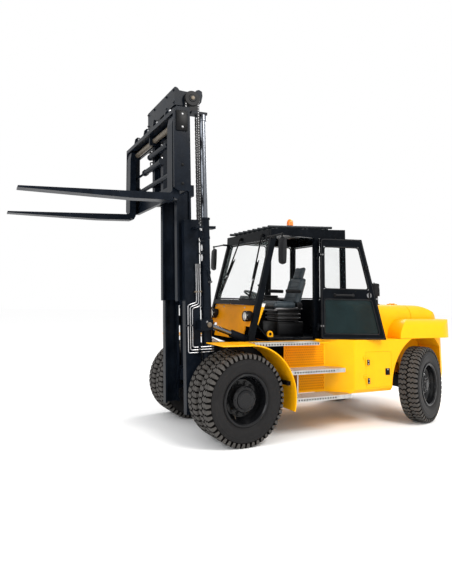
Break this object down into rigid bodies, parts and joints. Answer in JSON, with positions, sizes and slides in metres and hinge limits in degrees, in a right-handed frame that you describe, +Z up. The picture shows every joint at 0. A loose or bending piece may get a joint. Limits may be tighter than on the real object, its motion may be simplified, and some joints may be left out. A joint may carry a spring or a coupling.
{
  "type": "counterbalance forklift truck",
  "caption": "Heavy counterbalance forklift truck with twin drive wheels, steered rear wheels, a raised tilting mast, a wide fork carriage and an enclosed cab.",
  "frame": {"origin": "on the ground under the middle of the whole length", "axes": "+X forward along the forks, +Y to the driver's left, +Z up"},
  "size_m": [7.0472, 2.6168, 4.8478],
  "materials": {
    "yellow_paint": "gloss",
    "black_paint": "satin",
    "cast_grey": "matte",
    "chrome_rod": "polished",
    "steel": "greased",
    "tread_plate": "satin",
    "glass": "clear",
    "seat_leather": "satin",
    "black_plastic": "matte",
    "lamp_lens": "gloss",
    "tyre_rubber": "matte"
  },
  "bodies": {
    "chassis": {"frame": "black_paint", "drive_axle": "black_paint", "steer_axle": "black_paint", "counterweight": "yellow_paint", "radiator_grille": "black_paint", "engine_block": "cast_grey", "left_side_box": "yellow_paint", "right_side_box": "yellow_paint", "front_fenders": "yellow_paint", "steps": "tread_plate", "cowl": "yellow_paint", "cab_frame": "black_paint", "cab_roof": "black_paint", "cab_glass": "glass", "seat": "seat_leather", "steering_column": "black_plastic", "lamps": "lamp_lens", "mirrors": "black_plastic"},
    "hood": {"engine_hood": "yellow_paint", "air_cleaner": "black_plastic"},
    "service_door": {"service_door": "yellow_paint"},
    "cab_door": {"door_frame": "black_paint", "door_glass": "glass"},
    "outer_mast": {"outer_mast": "black_paint", "lift_barrels": "black_paint"},
    "tilt_barrels": {"tilt_barrels": "black_paint"},
    "tilt_rods": {"tilt_rods": "chrome_rod"},
    "inner_mast": {"inner_mast": "black_paint", "lift_rods": "chrome_rod", "chain_sheaves": "cast_grey", "chains_rear": "steel", "chains_front": "steel"},
    "carriage": {"carriage": "black_paint", "fork_shafts": "steel", "forks": "black_paint"},
    "front_left_wheels": {"front_left_tyres": "tyre_rubber", "front_left_rims": "black_paint"},
    "front_right_wheels": {"front_right_tyres": "tyre_rubber", "front_right_rims": "black_paint"},
    "left_knuckle": {"left_knuckle": "cast_grey"},
    "right_knuckle": {"right_knuckle": "cast_grey"},
    "rear_left_wheel": {"rear_left_tyre": "tyre_rubber", "rear_left_rim": "black_paint"},
    "rear_right_wheel": {"rear_right_tyre": "tyre_rubber", "rear_right_rim": "black_paint"}
  },
  "joints": [
    {"name": "mast_tilt", "type": "hinge", "parent": "chassis", "child": "outer_mast", "pos_m": [0.87637, 0, 0.45], "axis": [0, 1, 0], "range_deg": [-16, 2]},
    {"name": "mast_lift", "type": "slide", "parent": "outer_mast", "child": "inner_mast", "axis": [0.0715, 0, 0.9974], "range_m": [-1.48, 0], "deforming": ["chains_rear"]},
    {"name": "carriage_lift", "type": "slide", "parent": "inner_mast", "child": "carriage", "axis": [0.0715, 0, 0.9974], "range_m": [-1.48, 0], "deforming": ["chains_front"]},
    {"name": "tilt_barrel_swing", "type": "hinge", "parent": "chassis", "child": "tilt_barrels", "pos_m": [-0.22363, 0, 1.085], "axis": [0, 1, 0], "range_deg": [-8, 4]},
    {"name": "tilt_rod_slide", "type": "slide", "parent": "tilt_barrels", "child": "tilt_rods", "axis": [0.9487, 0, 0.3161], "range_m": [-0.3, 0.05]},
    {"name": "cab_door_hinge", "type": "hinge", "parent": "chassis", "child": "cab_door", "pos_m": [-0.79863, 0.814, 1.4], "axis": [0, 0, 1], "range_deg": [-160, 0]},
    {"name": "hood_hinge", "type": "hinge", "parent": "chassis", "child": "hood", "pos_m": [-2.71963, 0, 1.784], "axis": [0, -1, 0], "range_deg": [0, 50]},
    {"name": "service_door_hinge", "type": "hinge", "parent": "chassis", "child": "service_door", "pos_m": [-1.45763, 1.112, 0.83], "axis": [0, 0, -1], "range_deg": [0, 110]},
    {"name": "front_left_spin", "type": "hinge", "parent": "chassis", "child": "front_left_wheels", "pos_m": [0.57637, 1.04, 0.5625], "axis": [0, 1, 0], "continuous": true},
    {"name": "front_right_spin", "type": "hinge", "parent": "chassis", "child": "front_right_wheels", "pos_m": [0.57637, -1.04, 0.5625], "axis": [0, 1, 0], "continuous": true},
    {"name": "left_steer", "type": "hinge", "parent": "chassis", "child": "left_knuckle", "pos_m": [-2.61363, 0.83, 0.5625], "axis": [0, 0, 1], "range_deg": [-72, 28]},
    {"name": "right_steer", "type": "hinge", "parent": "chassis", "child": "right_knuckle", "pos_m": [-2.61363, -0.83, 0.5625], "axis": [0, 0, 1], "range_deg": [-72, 28]},
    {"name": "rear_left_spin", "type": "hinge", "parent": "left_knuckle", "child": "rear_left_wheel", "pos_m": [-2.67731, 0.98762, 0.5625], "axis": [-0.3746, 0.9272, 0], "continuous": true},
    {"name": "rear_right_spin", "type": "hinge", "parent": "right_knuckle", "child": "rear_right_wheel", "pos_m": [-2.54994, -0.98762, 0.5625], "axis": [-0.3746, 0.9272, 0], "continuous": true}
  ],
  "couplings": [
    {"joint": "carriage_lift", "follows": "mast_lift", "ratio": 1},
    {"joint": "tilt_barrel_swing", "follows": "mast_tilt", "ratio": 0.2363},
    {"joint": "tilt_rod_slide", "follows": "mast_tilt", "m_per_rad": 0.9754},
    {"joint": "right_steer", "follows": "left_steer", "ratio": 1}
  ]
}
